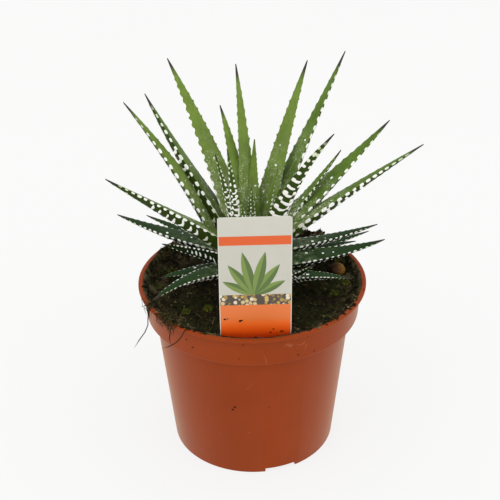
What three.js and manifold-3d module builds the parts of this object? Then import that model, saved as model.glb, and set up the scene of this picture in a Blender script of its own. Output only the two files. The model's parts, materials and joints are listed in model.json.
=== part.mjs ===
// A haworthia growing in a plastic nursery pot, with a plant label in its soil.
// Millimetres, +Z up. The origin is the middle of the pot's underside and the
// label stands on the -Y side. Azimuths are in degrees: 0 is -Y, 90 is +X.
import * as THREE from "three";
import { mergeVertices } from "three/addons/utils/BufferGeometryUtils.js";
import Module from "manifold-3d";

const wasm = await Module();
wasm.setup();

// Pot: body, stepped band and lip
const POT_HEIGHT = 95.4;
const LIP_RADIUS = 60;
const LIP_HEIGHT = 1.6;
const LIP_ROUNDING = 0.5;
const LIP_FILLET = 2;
const BAND_TOP_RADIUS = 57.3;
const BAND_FOOT_RADIUS = 56.3;
const BAND_FOOT_Z = 78.4;
const BODY_TOP_RADIUS = 51.8;
const STEP_HEIGHT = 1.4;
const FOOT_RADIUS = 44;
const FOOT_ROUNDING = 1.6;
const WALL = 1.2;
const FLOOR = 1.4;
const ROUND_STEPS = 40;

// Drainage channels under the floor, each open at the foot and with one hole
const CHANNEL_COUNT = 3;
const CHANNEL_AZIMUTH = 19;
const CHANNEL_WIDTH = 17;
const CHANNEL_HEIGHT = 2.4;
const CHANNEL_INNER_RADIUS = 26;
const DRAIN_RADIUS = 33;
const DRAIN_DIAMETER = 7;
const DRAIN_STEPS = 16;

// Soil, and the gap that neighbouring pieces keep
const GAP = 0.3;
const SOIL_Z = 87.8;
const SOIL_RELIEF = 0.7;
const SOIL_RING_RADII = [52.5, 49, 41, 32, 23, 14];
const BANK_RADIUS = 49.5;
const BANK_RISE = 6;

// Waves of the soil's surface: how many round the pot, and their radial scale
const SOIL_WAVES = [
  { count: 3, scale: 5 },
  { count: 7, scale: -3 },
];

// Label: a thin upright tag whose foot stands over the pot's inner step
const LABEL_WIDTH = 34.8;
const LABEL_THICKNESS = 0.6;
const LABEL_TOP_Z = 158.2;
const LABEL_FOOT_Z = 80.6;
const LABEL_CORNER = 1.6;
const LABEL_CORNER_STEPS = 4;
const LABEL_X = 1.5;
const LABEL_Y = -51.3;
const LABEL_TURN = 1.8;

// Stem, standing in the soil a little behind the pot's middle
const STEM_Y = 4;
const STEM_FOOT_Z = 70;
const STEM_NECK_RADIUS = 4.5;
const STEM_CROWN_RADIUS = 7.5;
const STEM_CROWN_Z = 99;
const STEM_TOP_Z = 115;
const STEM_STEPS = 16;

// Bark chip that lies on the soil
const CHIP_LENGTH = 10.6;
const CHIP_WIDTH = 7.4;
const CHIP_HEIGHT = 5.6;
const CHIP_X = 45.5;
const CHIP_Y = 15;

// Leaf form: a keeled blade with toothed margins and a ridge at every band
const TIP_WIDTH = 0.9;
const TIP_THICKNESS = 0.7;
const THICKNESS_SHARE = 0.5;
const WIDTH_TAPER = 0.88;
const THICKNESS_TAPER = 0.88;
const SHOULDER = 0.12;
const FOOT_SHARE = 0.8;
const FOOT_LENGTH = 14;
const BAND_PITCH = 10;
const RIDGE = 0.55;
const TOOTH = 0.75;
const FULL_RELIEF_HALF_WIDTH = 3;
const PATH_STEPS = 24;

// A leaf's cross-section: shares of its half width and of its thickness, from
// the right margin over the flat face to the left one and back under the keel
const SECTION = [
  [1, 0], [0.5, 0.1], [-0.5, 0.1], [-1, 0],
  [-0.75, -0.38], [-0.3, -0.8], [0.3, -0.8], [0.75, -0.38],
];

// Every leaf, inner ones first: azimuth, elevation at the foot, length, bend
// and sweep from foot to tip, height and radius of the foot, width, and roll
// at the foot with its twist from foot to tip
const LEAVES = [
  [172, 82, 56, -6, 0, 112, 3, 10, 0, 0],
  [0, 82, 41, -6, 0, 112, 4, 8.5, 10, 0],
  [112, 80, 44, -8, 0, 111, 4, 9.5, -6, 0],
  [-20, 76, 38, -6, 0, 110, 5, 9, -8, 0],
  [-62, 79, 61, -6, 0, 110, 5, 11, 4, 0],
  [-37, 79, 66, 1, 1, 109, 7, 11, 0, 0],
  [48, 76, 44, -10, 0, 110, 5, 10, 0, 0],
  [-168, 83, 99, -16, 5, 107, 3, 12.5, -3, 0],
  [142, 71, 104, -16, 3, 107, 3, 16.5, -4, 0],
  [-147, 87, 82, -26, 3, 104, 5, 15.5, 4, 0],
  [-136, 63, 108, -15, -3, 110, 3, 18, 7, 0],
  [40, 72, 106, -24, 2, 103, 5, 17.5, 7, 0],
  [133, 56, 110, 6, -17, 112, 3, 17, 6, 0],
  [-116, 50.5, 94, 5, -2, 112, 4, 21, -18, -8],
  [-102, 65.5, 112.5, -18, -6, 93, 4.5, 18, 14, -20],
  [180, 52, 50, -14, 0, 104, 6, 13, 0, 0],
  [109, 36.5, 95, 3, 5, 112, 3, 20, -5, 0],
  [111, 44, 67, 7, -4, 110, 4, 12, 6, 0],
  [96, 34, 101, -4, 2, 111, 3, 17, 6, 4],
  [12, 50, 42, -6, 0, 105, 6, 12, 0, 0],
  [-83, 32.5, 80, -2, -5, 113, 5, 21, -10, -16],
  [-18, 36, 40, -6, 0, 103, 6, 12, 0, 0],
  [155, 34, 58, -8, 0, 103, 6, 13, 4, 0],
  [-158, 30, 60, -6, 0, 103, 6, 13, -6, 0],
  [20, 22, 38, -6, 0, 101, 7, 12, 0, 0],
  [-110, -1.5, 75, 9, -9, 110.5, 6, 18, -5, 4],
  [-128, 3, 68, -1, 0, 104, 7, 13, 2, 0],
  [112, -6, 69, 10, 2, 110, 6, 14.5, 5, 0],
  [172, 18, 66, 2, 0, 101, 7, 13, 0, 0],
  [96, -7, 65, 21, 4, 106, 7, 19, -4, 0],
  [119, -2, 68, 3, 1, 101, 7, 12, 0, 0],
  [112, 9, 54, -13, -2, 100, 7, 11, -3, 0],
  [-100, 7, 43, -4, -3, 105, 6, 18, -28, -16],
  [-53, 25, 61, -38, 10, 100, 6, 14.5, 2, 0],
  [-3, 12, 38, -6, 0, 99, 7, 12, 0, 0],
  [-172, 2, 62, 4, 0, 99, 7, 13, 0, 0],
  [145, 6, 64, 2, 0, 100, 7, 13, 0, 0],
  [-94, 0, 43, -19, 3, 99, 7, 15, 4, 0],
  [-16, 2, 36, -6, 0, 97, 8, 11, 0, 0],
  [49, 29, 40, 9, 1, 94, 8, 15, 2, 0],
  [70, 23, 48, -23, -4, 94, 8, 14, 2, 0],
].map(([azimuth, elevation, length, bend, sweep, footZ, footRadius, width, roll, twist]) =>
  ({ azimuth, elevation, length, bend, sweep, footZ, footRadius, width, roll, twist }));

const POT_COLOUR = 0x9c4b2d;
const SOIL_COLOUR = 0x2b2119;
const LABEL_COLOUR = 0xd9d6cc;
const STEM_COLOUR = 0x8a8f5a;
const CHIP_COLOUR = 0x6e4526;
const BRIGHT_LEAF = new THREE.Color(0x78913c);
const DARK_LEAF = new THREE.Color(0x2c4a2c);
const BRIGHT_ELEVATION = 75;

const radians = THREE.MathUtils.degToRad;
const model = new THREE.Group();

// Unit vector for an azimuth and an elevation
function direction(azimuth, elevation) {
  const a = radians(azimuth);
  const e = radians(elevation);
  return new THREE.Vector3(Math.sin(a) * Math.cos(e), -Math.cos(a) * Math.cos(e), Math.sin(e));
}

// A closed body from a closed mesh, with its doubled corners merged
function bodyOf(mesh) {
  mesh.deleteAttribute("normal");
  mesh.deleteAttribute("uv");
  const merged = mergeVertices(mesh);
  const corners = merged.index.array;
  const triangles = [];
  for (let i = 0; i < corners.length; i += 3) {
    const triangle = Array.from(corners.slice(i, i + 3));
    if (new Set(triangle).size === 3) {
      triangles.push(...triangle);
    }
  }
  return new wasm.Manifold(new wasm.Mesh({
    numProp: 3,
    vertProperties: new Float32Array(merged.attributes.position.array),
    triVerts: new Uint32Array(triangles),
  }));
}

// Adds one named mesh to the model
function addPiece(name, body, colour, roughness) {
  const { vertProperties, triVerts } = body.getMesh();
  const geometry = new THREE.BufferGeometry();
  geometry.setAttribute("position", new THREE.BufferAttribute(vertProperties, 3));
  geometry.setIndex(new THREE.BufferAttribute(triVerts, 1));
  geometry.computeVertexNormals();
  const material = new THREE.MeshStandardMaterial({ color: colour, roughness, metalness: 0 });
  const mesh = new THREE.Mesh(geometry, material);
  mesh.name = name;
  model.add(mesh);
}

// Skins rings of equally many points and closes both ends
function loft(rings) {
  const count = rings[0].length;
  const corners = rings.flat().flatMap((point) => point.toArray());
  const triangles = [];
  for (let ring = 0; ring < rings.length - 1; ring += 1) {
    for (let i = 0; i < count; i += 1) {
      const a = ring * count + i;
      const b = ring * count + (i + 1) % count;
      triangles.push(a, b, b + count, a, b + count, a + count);
    }
  }
  const last = (rings.length - 1) * count;
  for (let i = 1; i < count - 1; i += 1) {
    triangles.push(0, i + 1, i, last, last + i, last + i + 1);
  }
  const mesh = new THREE.BufferGeometry();
  mesh.setAttribute("position", new THREE.Float32BufferAttribute(corners, 3));
  mesh.setIndex(triangles);
  return bodyOf(mesh);
}

// Turns an outline of [radius, height] pairs, listed upwards, about the Z axis
function turned(outline, steps) {
  const points = outline.map(([radius, z]) => new THREE.Vector2(radius, z));
  const mesh = new THREE.LatheGeometry(points, steps);
  mesh.rotateX(Math.PI / 2);
  return bodyOf(mesh);
}

// A box centred on x and y that stands on z
function box(width, depth, height, x, y, z) {
  return bodyOf(new THREE.BoxGeometry(width, depth, height)).translate([x, y, z + height / 2]);
}

// The pot's inner wall, listed upwards from the middle of its floor; a fillet
// then leads over into the lip
const bandTopZ = POT_HEIGHT - LIP_HEIGHT;
const insideTopRadius = BAND_TOP_RADIUS - WALL;
const filletDepth = LIP_FILLET * (1 - Math.SQRT1_2);
const potInside = [
  [0, FLOOR],
  [FOOT_RADIUS - WALL, FLOOR],
  [BODY_TOP_RADIUS - WALL, BAND_FOOT_Z],
  [BAND_FOOT_RADIUS - WALL, BAND_FOOT_Z + STEP_HEIGHT],
  [insideTopRadius, POT_HEIGHT - LIP_FILLET],
];

const potOutside = [
  [0, 0],
  [FOOT_RADIUS - FOOT_ROUNDING, 0],
  [FOOT_RADIUS, FOOT_ROUNDING],
  [BODY_TOP_RADIUS, BAND_FOOT_Z - STEP_HEIGHT],
  [BAND_FOOT_RADIUS, BAND_FOOT_Z],
  [BAND_TOP_RADIUS, bandTopZ],
  [LIP_RADIUS - LIP_ROUNDING, bandTopZ],
  [LIP_RADIUS, bandTopZ + LIP_ROUNDING],
  [LIP_RADIUS, POT_HEIGHT - LIP_ROUNDING],
  [LIP_RADIUS - LIP_ROUNDING, POT_HEIGHT],
  [insideTopRadius + LIP_FILLET, POT_HEIGHT],
  [insideTopRadius + filletDepth, POT_HEIGHT - filletDepth],
];

// A straight block along a channel, cut off at the pot's outer wall
function channelBlock(azimuth, innerRadius, width, height) {
  const length = LIP_RADIUS - innerRadius;
  const middle = -(innerRadius + length / 2);
  return box(width, length, height, 0, middle, 0).rotate([0, 0, azimuth]);
}

function makePot() {
  const filled = turned([...potOutside, [0, POT_HEIGHT]], ROUND_STEPS);
  let pot = turned([...potOutside, ...potInside.toReversed()], ROUND_STEPS);
  for (let i = 0; i < CHANNEL_COUNT; i += 1) {
    const azimuth = CHANNEL_AZIMUTH + i * 360 / CHANNEL_COUNT;
    const roof = channelBlock(azimuth, CHANNEL_INNER_RADIUS - FLOOR,
      CHANNEL_WIDTH + 2 * FLOOR, CHANNEL_HEIGHT + FLOOR);
    const channel = channelBlock(azimuth, CHANNEL_INNER_RADIUS, CHANNEL_WIDTH, CHANNEL_HEIGHT);
    const drain = bodyOf(new THREE.CylinderGeometry(DRAIN_DIAMETER / 2, DRAIN_DIAMETER / 2,
      2 * (CHANNEL_HEIGHT + 2 * FLOOR), DRAIN_STEPS))
      .rotate([90, 0, 0]).translate([0, -DRAIN_RADIUS, 0]).rotate([0, 0, azimuth]);
    pot = pot.add(roof.intersect(filled)).subtract(channel).subtract(drain);
  }
  return pot;
}

// Radius of the soil's edge where it banks up against the pot's wall
const bandLean = (BAND_TOP_RADIUS - BAND_FOOT_RADIUS) / (bandTopZ - BAND_FOOT_Z);
const soilEdge = BAND_FOOT_RADIUS - WALL - GAP
  + bandLean * (SOIL_Z + BANK_RISE - BAND_FOOT_Z - STEP_HEIGHT);

// Height of the soil's gently lumpy surface; the angle is in radians from +Y
function soilHeight(angle, radius) {
  const waves = SOIL_WAVES.map(({ count, scale }) => Math.sin(count * angle + radius / scale));
  const bank = Math.max(0, (radius - BANK_RADIUS) / (soilEdge - BANK_RADIUS));
  return SOIL_Z + SOIL_RELIEF * (waves[0] + waves[1]) / waves.length + BANK_RISE * bank ** 2;
}

// A level ring of points about the Z axis; height is a number or a function
function levelRing(radius, height) {
  return Array.from({ length: ROUND_STEPS }, (_, i) => {
    const angle = 2 * Math.PI * i / ROUND_STEPS;
    const z = typeof height === "function" ? height(angle, radius) : height;
    return new THREE.Vector3(radius * Math.sin(angle), radius * Math.cos(angle), z);
  }).toReversed();
}

function makeSoil(stemHole, labelSlot) {
  const foot = CHANNEL_HEIGHT + FLOOR + GAP;
  const wall = potInside.slice(1, -1).map(([radius, z]) => [radius - GAP, z + GAP]);
  wall[0][1] = foot;
  const soil = loft([
    ...wall.map(([radius, z]) => levelRing(radius, z)),
    ...[soilEdge, ...SOIL_RING_RADII].map((radius) => levelRing(radius, soilHeight)),
  ]);
  return soil.subtract(stemHole).subtract(labelSlot);
}

function makeStem(grow) {
  const neck = STEM_NECK_RADIUS + grow;
  const crown = STEM_CROWN_RADIUS + grow;
  return turned([
    [0, STEM_FOOT_Z - grow],
    [neck, STEM_FOOT_Z - grow],
    [neck, SOIL_Z],
    [crown, STEM_CROWN_Z - STEM_NECK_RADIUS],
    [crown, STEM_CROWN_Z],
    [neck, STEM_TOP_Z - STEM_NECK_RADIUS],
    [neck / 2, STEM_TOP_Z + grow],
    [0, STEM_TOP_Z + grow],
  ], STEM_STEPS).translate([0, STEM_Y, 0]);
}

function makeLabel(grow) {
  const x = LABEL_WIDTH / 2 + grow;
  const y = (LABEL_TOP_Z - LABEL_FOOT_Z) / 2 + grow;
  const corner = LABEL_CORNER;
  const outline = new THREE.Shape();
  outline.moveTo(-x, -y);
  outline.lineTo(x, -y);
  outline.absarc(x - corner, y - corner, corner, 0, Math.PI / 2);
  outline.absarc(corner - x, y - corner, corner, Math.PI / 2, Math.PI);
  const depth = LABEL_THICKNESS + 2 * grow;
  const curveSegments = LABEL_CORNER_STEPS;
  const mesh = new THREE.ExtrudeGeometry(outline, { depth, bevelEnabled: false, curveSegments });
  mesh.translate(0, 0, -depth / 2);
  return bodyOf(mesh).rotate([90, 0, 0]).rotate([0, 0, LABEL_TURN])
    .translate([LABEL_X, LABEL_Y, (LABEL_TOP_Z + LABEL_FOOT_Z) / 2]);
}

function makeChip() {
  const mesh = new THREE.IcosahedronGeometry(0.5, 1);
  mesh.scale(CHIP_LENGTH, CHIP_WIDTH, CHIP_HEIGHT);
  const angle = Math.atan2(CHIP_X, CHIP_Y);
  const ground = soilHeight(angle, Math.hypot(CHIP_X, CHIP_Y)) + GAP;
  return bodyOf(mesh).translate([CHIP_X, CHIP_Y, ground + CHIP_HEIGHT / 2]);
}

// Place and axes of a leaf's cross-section at a share of its length
function leafFrame(leaf, share) {
  const point = direction(leaf.azimuth, 0).multiplyScalar(leaf.footRadius);
  point.add(new THREE.Vector3(0, STEM_Y, leaf.footZ));
  const step = share * leaf.length / PATH_STEPS;
  for (let i = 0; i < PATH_STEPS; i += 1) {
    const here = share * (i + 0.5) / PATH_STEPS;
    const heading = direction(leaf.azimuth + leaf.sweep * here, leaf.elevation + leaf.bend * here);
    point.addScaledVector(heading, step);
  }
  const azimuth = leaf.azimuth + leaf.sweep * share;
  const elevation = leaf.elevation + leaf.bend * share;
  const axis = direction(azimuth, elevation);
  const turn = -radians(leaf.roll + leaf.twist * share);
  const side = direction(azimuth + 90, 0).applyAxisAngle(axis, turn);
  const face = direction(azimuth, elevation + 90).applyAxisAngle(axis, turn);
  return { point, side, face };
}

// One cross-section; relief 1 is the crest of a band, and grow swells it evenly
function leafRing(leaf, share, relief, grow) {
  const { point, side, face } = leafFrame(leaf, share);
  const rest = Math.max(0, 1 - share);
  const shoulder = Math.min(1, FOOT_SHARE + (1 - FOOT_SHARE) * share / SHOULDER);
  const half = (TIP_WIDTH + (leaf.width - TIP_WIDTH) * rest ** WIDTH_TAPER * shoulder) / 2;
  const fullThickness = leaf.width * THICKNESS_SHARE;
  const thickness = TIP_THICKNESS + (fullThickness - TIP_THICKNESS) * rest ** THICKNESS_TAPER;
  const fade = relief * Math.min(1, half / FULL_RELIEF_HALF_WIDTH);
  return SECTION.map(([x, y]) => {
    const across = x * (half + fade * TOOTH + 2 * grow);
    const up = y * thickness + Math.sign(y) * grow - (y < 0 ? fade * RIDGE : 0);
    return point.clone().addScaledVector(side, across).addScaledVector(face, up);
  });
}

// Shares of the length at which cross-sections lie: a plain foot, then a crest
// and a valley for every band
function ringShares(leaf) {
  const bare = FOOT_LENGTH / leaf.length;
  const count = 2 * Math.round((leaf.length - FOOT_LENGTH) / BAND_PITCH);
  const banded = Array.from({ length: count + 1 }, (_, i) => bare + (1 - bare) * i / count);
  return [0, ...banded];
}

function isCrest(i) {
  return i > 0 && i % 2 === 0;
}

function makeLeaf(leaf) {
  return loft(ringShares(leaf).map((share, i) => leafRing(leaf, share, isCrest(i) ? 1 : 0, 0)));
}

// The room that a leaf takes from the leaves outside it
function leafRoom(leaf) {
  const shares = ringShares(leaf).filter((_, i) => i === 0 || isCrest(i));
  return loft([...shares, 1 + GAP / leaf.length].map((share) => leafRing(leaf, share, 1, GAP)));
}

function largestOf(body) {
  return body.decompose().sort((a, b) => b.volume() - a.volume())[0];
}

function addLeaves(taken) {
  let room = taken;
  LEAVES.forEach((leaf, i) => {
    const body = largestOf(makeLeaf(leaf).subtract(room));
    const brightness = THREE.MathUtils.clamp(leaf.elevation / BRIGHT_ELEVATION, 0, 1);
    const colour = DARK_LEAF.clone().lerp(BRIGHT_LEAF, brightness);
    addPiece(`leaf_${String(i + 1).padStart(2, "0")}`, body, colour, 0.5);
    room = room.add(leafRoom(leaf));
  });
}

const stemRoom = makeStem(GAP);
addPiece("pot", makePot(), POT_COLOUR, 0.45);
addPiece("soil", makeSoil(stemRoom, makeLabel(GAP)), SOIL_COLOUR, 1);
addPiece("label", makeLabel(0), LABEL_COLOUR, 0.35);
addPiece("bark_chip", makeChip(), CHIP_COLOUR, 0.8);
addPiece("stem", makeStem(0), STEM_COLOUR, 0.7);
addLeaves(stemRoom);

export default model;
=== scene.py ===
import json
import math
import random

import bmesh
import bpy
from mathutils import Matrix, Vector, noise


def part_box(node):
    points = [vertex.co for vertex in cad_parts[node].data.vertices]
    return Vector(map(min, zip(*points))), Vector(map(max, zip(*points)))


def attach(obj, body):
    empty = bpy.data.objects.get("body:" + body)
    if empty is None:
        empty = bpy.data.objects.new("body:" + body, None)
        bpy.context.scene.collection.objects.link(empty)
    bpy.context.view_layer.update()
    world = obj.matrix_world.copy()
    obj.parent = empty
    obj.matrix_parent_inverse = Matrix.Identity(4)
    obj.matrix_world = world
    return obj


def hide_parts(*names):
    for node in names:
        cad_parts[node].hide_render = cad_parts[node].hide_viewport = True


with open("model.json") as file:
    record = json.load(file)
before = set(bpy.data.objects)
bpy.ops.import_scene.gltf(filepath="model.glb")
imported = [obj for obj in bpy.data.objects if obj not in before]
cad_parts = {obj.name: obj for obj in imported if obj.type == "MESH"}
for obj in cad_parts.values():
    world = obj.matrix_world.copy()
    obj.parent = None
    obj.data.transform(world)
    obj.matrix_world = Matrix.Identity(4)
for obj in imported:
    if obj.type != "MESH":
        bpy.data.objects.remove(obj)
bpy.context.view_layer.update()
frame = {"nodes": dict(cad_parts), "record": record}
mm = 0.001

# The studio: the photograph's viewing angle, looking down on the pot, over a plain pale floor.
# The light is soft: a bright surround, a faintly glowing floor and two large lamps.
CAMERA_PLACE = Vector((0, -501.7, 393.6)) * mm
CAMERA_PITCH = 29.31
CAMERA_ROLL = -0.61
CAMERA_SHIFT = -0.0038
SENSOR_WIDTH = 36
LENS = 79.5
FLOOR_SIZE = 6
FLOOR_COLOURS = (0x646463, 0x686867)
FLOOR_GLOW = 0.8
SURROUND_STRENGTH = 1.06
# The lamps, as name, place and power. Metres and watts.
LAMPS = [("key", (-0.9, -0.8, 1.5), 6), ("fill", (1.3, -0.9, 0.9), 4)]
LAMP_SIZE = 1.4
LAMP_TARGET = Vector((0, 0, 0.1))


def srgb(code):
    """A screen colour, such as 0x9C4B2D, as the linear colour that shaders take."""
    shares = [(code >> shift & 255) / 255 for shift in (16, 8, 0)]
    return [c / 12.92 if c <= 0.04045 else ((c + 0.055) / 1.055) ** 2.4 for c in shares] + [1]


def new_material(name, roughness, specular=0.5):
    """A material, its node tree and its surface shader."""
    material = bpy.data.materials.new(name)
    material.use_nodes = True
    shader = material.node_tree.nodes["Principled BSDF"]
    shader.inputs["Roughness"].default_value = roughness
    shader.inputs["Specular IOR Level"].default_value = specular
    return material, material.node_tree, shader


def add_node(tree, kind, inputs=None, **settings):
    """A shader node with its settings; each input is linked if it is a socket, and set if not."""
    made = tree.nodes.new("ShaderNode" + kind)
    for name, value in settings.items():
        setattr(made, name, value)
    for name, value in (inputs or {}).items():
        if isinstance(value, bpy.types.NodeSocket):
            tree.links.new(value, made.inputs[name])
        else:
            made.inputs[name].default_value = value
    return made


def object_place(tree):
    return add_node(tree, "TexCoord").outputs["Object"]


def noise_value(tree, place, scale, detail=3, roughness=0.5):
    inputs = {"Vector": place, "Scale": scale, "Detail": detail, "Roughness": roughness}
    return add_node(tree, "TexNoise", inputs).outputs["Fac"]


def mixed(tree, share, first, second):
    """Two colours mixed by a share; each may be a socket or a screen colour."""
    first, second = [srgb(colour) if isinstance(colour, int) else colour for colour in (first, second)]
    return add_node(tree, "Mix", {0: share, 6: first, 7: second}, data_type="RGBA").outputs[2]


def paint(tree, shader, colour):
    tree.links.new(colour, shader.inputs["Base Color"])


def rotation(degrees, axis):
    return Matrix.Rotation(math.radians(degrees), 4, axis)


def piece_from(bm, name, material, sharp_angle=50):
    """An object at the origin with the built mesh, smooth except over sharp angles."""
    mesh = bpy.data.meshes.new(name)
    bm.to_mesh(mesh)
    bm.free()
    mesh.materials.append(material)
    mesh.shade_smooth()
    mesh.set_sharp_from_angle(angle=math.radians(sharp_angle))
    piece = bpy.data.objects.new(name, mesh)
    bpy.context.collection.objects.link(piece)
    return piece


camera = bpy.data.objects.new("camera", bpy.data.cameras.new("camera"))
camera.data.sensor_width = SENSOR_WIDTH
camera.data.lens = LENS
camera.data.shift_x = CAMERA_SHIFT
camera_tilt = rotation(90 - CAMERA_PITCH, "X")
camera_turn = rotation(CAMERA_ROLL, "Z")
camera.matrix_world = Matrix.Translation(CAMERA_PLACE) @ camera_tilt @ camera_turn
bpy.context.collection.objects.link(camera)
bpy.context.scene.camera = camera
bpy.context.scene.view_settings.view_transform = "Standard"

surround = bpy.data.worlds.new("surround")
surround.use_nodes = True
background = surround.node_tree.nodes["Background"]
background.inputs["Strength"].default_value = SURROUND_STRENGTH
background.inputs["Color"].default_value = (1, 1, 1, 1)
bpy.context.scene.world = surround
for name, place, power in LAMPS:
    lamp = bpy.data.lights.new(name, "AREA")
    lamp.shape = "DISK"
    lamp.size = LAMP_SIZE
    lamp.energy = power
    holder = bpy.data.objects.new(name, lamp)
    holder.location = place
    holder.rotation_euler = (LAMP_TARGET - Vector(place)).to_track_quat("-Z", "Y").to_euler()
    bpy.context.collection.objects.link(holder)

floor_material, tree, shader = new_material("floor", 0.9, 0)
paint(tree, shader, mixed(tree, noise_value(tree, object_place(tree), 3), *FLOOR_COLOURS))
shader.inputs["Emission Color"].default_value = (1, 1, 1, 1)
shader.inputs["Emission Strength"].default_value = FLOOR_GLOW
bm = bmesh.new()
bmesh.ops.create_grid(bm, x_segments=2, y_segments=2, size=FLOOR_SIZE / 2)
floor = piece_from(bm, "floor", floor_material)

# The pot: one thin moulded cup of terracotta-coloured plastic with a stepped band and a turned-out lip.
# It is turned from its outline; three channels are then cut under its floor, each with a drain hole.
POT_HEIGHT = 95.4 * mm
LIP_RADIUS = 60 * mm
LIP_HEIGHT = 1.6 * mm
BAND_TOP_RADIUS = 57.3 * mm
BAND_FOOT_RADIUS = 56.3 * mm
BAND_FOOT_Z = 78.4 * mm
BODY_TOP_RADIUS = 51.8 * mm
STEP_HEIGHT = 1.4 * mm
FOOT_RADIUS = 44 * mm
WALL = 1.2 * mm
FLOOR_THICKNESS = 1.4 * mm
LIP_FILLET = 2 * mm
POT_ROUNDING = 0.45 * mm
POT_STEPS = 160
POT_COLOURS = (0x86340E, 0x903B14)
DUST_COLOUR = 0x6A3A22
DUST_HEIGHTS = (84 * mm, 96 * mm)
SCRATCH_COLOUR = 0xC98A6A
CHANNEL_TURNS = [rotation(azimuth, "Z") for azimuth in (19, 139, 259)]
CHANNEL_WIDTH = 17 * mm
CHANNEL_HEIGHT = 2.4 * mm
CHANNEL_INNER_RADIUS = 26 * mm
DRAIN_RADIUS = 33 * mm
DRAIN_DIAMETER = 7 * mm
BAND_TOP_Z = POT_HEIGHT - LIP_HEIGHT
INSIDE_TOP_RADIUS = BAND_TOP_RADIUS - WALL
FILLET_DEPTH = LIP_FILLET * (1 - math.sqrt(0.5))


def ranged(tree, value, low, high, to_low=0, to_high=1):
    """A value carried from one range to another and held inside it."""
    inputs = {"Value": value, "From Min": low, "From Max": high, "To Min": to_low, "To Max": to_high}
    return add_node(tree, "MapRange", inputs).outputs["Result"]


def worked(tree, operation, first, second=0.0):
    return add_node(tree, "Math", {0: first, 1: second}, operation=operation).outputs[0]


def times(tree, first, second):
    return worked(tree, "MULTIPLY", first, second)


def axes(tree, place):
    return add_node(tree, "SeparateXYZ", {"Vector": place}).outputs


def bumped(tree, shader, height, strength, distance):
    inputs = {"Height": height, "Strength": strength, "Distance": distance}
    tree.links.new(add_node(tree, "Bump", inputs).outputs["Normal"], shader.inputs["Normal"])


def turned(outline, rounding, steps):
    """A body turned about Z from [radius, height] corners, with the corners off the axis rounded."""
    bm = bmesh.new()
    corners = [bm.verts.new((radius, 0, z)) for radius, z in outline]
    for first, second in zip(corners, corners[1:]):
        bm.edges.new((first, second))
    if rounding:
        bmesh.ops.bevel(bm, geom=corners[1:-1], offset=rounding, segments=4,
                        profile=0.5, affect="VERTICES", clamp_overlap=True, material=-1)
    bmesh.ops.spin(bm, geom=bm.verts[:] + bm.edges[:], cent=(0, 0, 0), axis=(0, 0, 1),
                   angle=2 * math.pi, steps=steps, use_merge=True)
    bmesh.ops.remove_doubles(bm, verts=bm.verts, dist=0.001 * mm)
    bmesh.ops.recalc_face_normals(bm, faces=bm.faces)
    return bm


def channel_blocks(inner_radius, width, foot, height):
    """One upright block along each drainage channel, out past the pot's side."""
    bm = bmesh.new()
    length = LIP_RADIUS - inner_radius
    for turn in CHANNEL_TURNS:
        place = Matrix.Translation((0, -inner_radius - length / 2, foot + height / 2))
        shape = Matrix.Diagonal((width, length, height, 1))
        bmesh.ops.create_cube(bm, size=1, matrix=turn @ place @ shape)
    return bm


def drain_rods():
    bm = bmesh.new()
    for turn in CHANNEL_TURNS:
        place = turn @ Matrix.Translation((0, -DRAIN_RADIUS, 0))
        bmesh.ops.create_cone(bm, cap_ends=True, segments=32, radius1=DRAIN_DIAMETER / 2,
                              radius2=DRAIN_DIAMETER / 2, depth=4 * CHANNEL_HEIGHT, matrix=place)
    return bm


def combined(piece, tool, operation):
    """Joins, cuts or crops a piece with a tool, which is then removed."""
    step = piece.modifiers.new(operation, "BOOLEAN")
    step.operation = operation
    step.solver = "EXACT"
    step.object = tool
    bpy.context.view_layer.update()
    graph = bpy.context.evaluated_depsgraph_get()
    result = bpy.data.meshes.new_from_object(piece.evaluated_get(graph))
    piece.modifiers.clear()
    piece.data = result
    bpy.data.objects.remove(tool)


pot_material, tree, shader = new_material("terracotta_plastic", 0.36, 0.06)
for name, value in (("Weight", 0.24), ("Roughness", 0.35), ("Tint", (1, 0.78, 0.42, 1))):
    shader.inputs["Sheen " + name].default_value = value
place = object_place(tree)
cloud = noise_value(tree, place, 22, 4)
pot_colour = mixed(tree, ranged(tree, cloud, 0.3, 0.7), *POT_COLOURS)
height = axes(tree, place)["Z"]
dust = times(tree, ranged(tree, noise_value(tree, place, 420, 5, 0.7), 0.52, 0.72),
             ranged(tree, height, *DUST_HEIGHTS, 0, 0.75))
pot_colour = mixed(tree, dust, pot_colour, DUST_COLOUR)
scratch = worked(tree, "SUBTRACT", noise_value(tree, place, 60, 1), 0.5)
scratch = ranged(tree, worked(tree, "ABSOLUTE", scratch), 0.002, 0.005, 1, 0)
scratch = times(tree, scratch, ranged(tree, noise_value(tree, place, 130, 2), 0.6, 0.68, 0, 0.22))
paint(tree, shader, mixed(tree, scratch, pot_colour, SCRATCH_COLOUR))
tree.links.new(ranged(tree, cloud, 0.2, 0.8, 0.3, 0.44), shader.inputs["Roughness"])
relief = worked(tree, "ADD", times(tree, cloud, 3.0), noise_value(tree, place, 900, 2))
bumped(tree, shader, relief, 0.25, 0.1 * mm)

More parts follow.
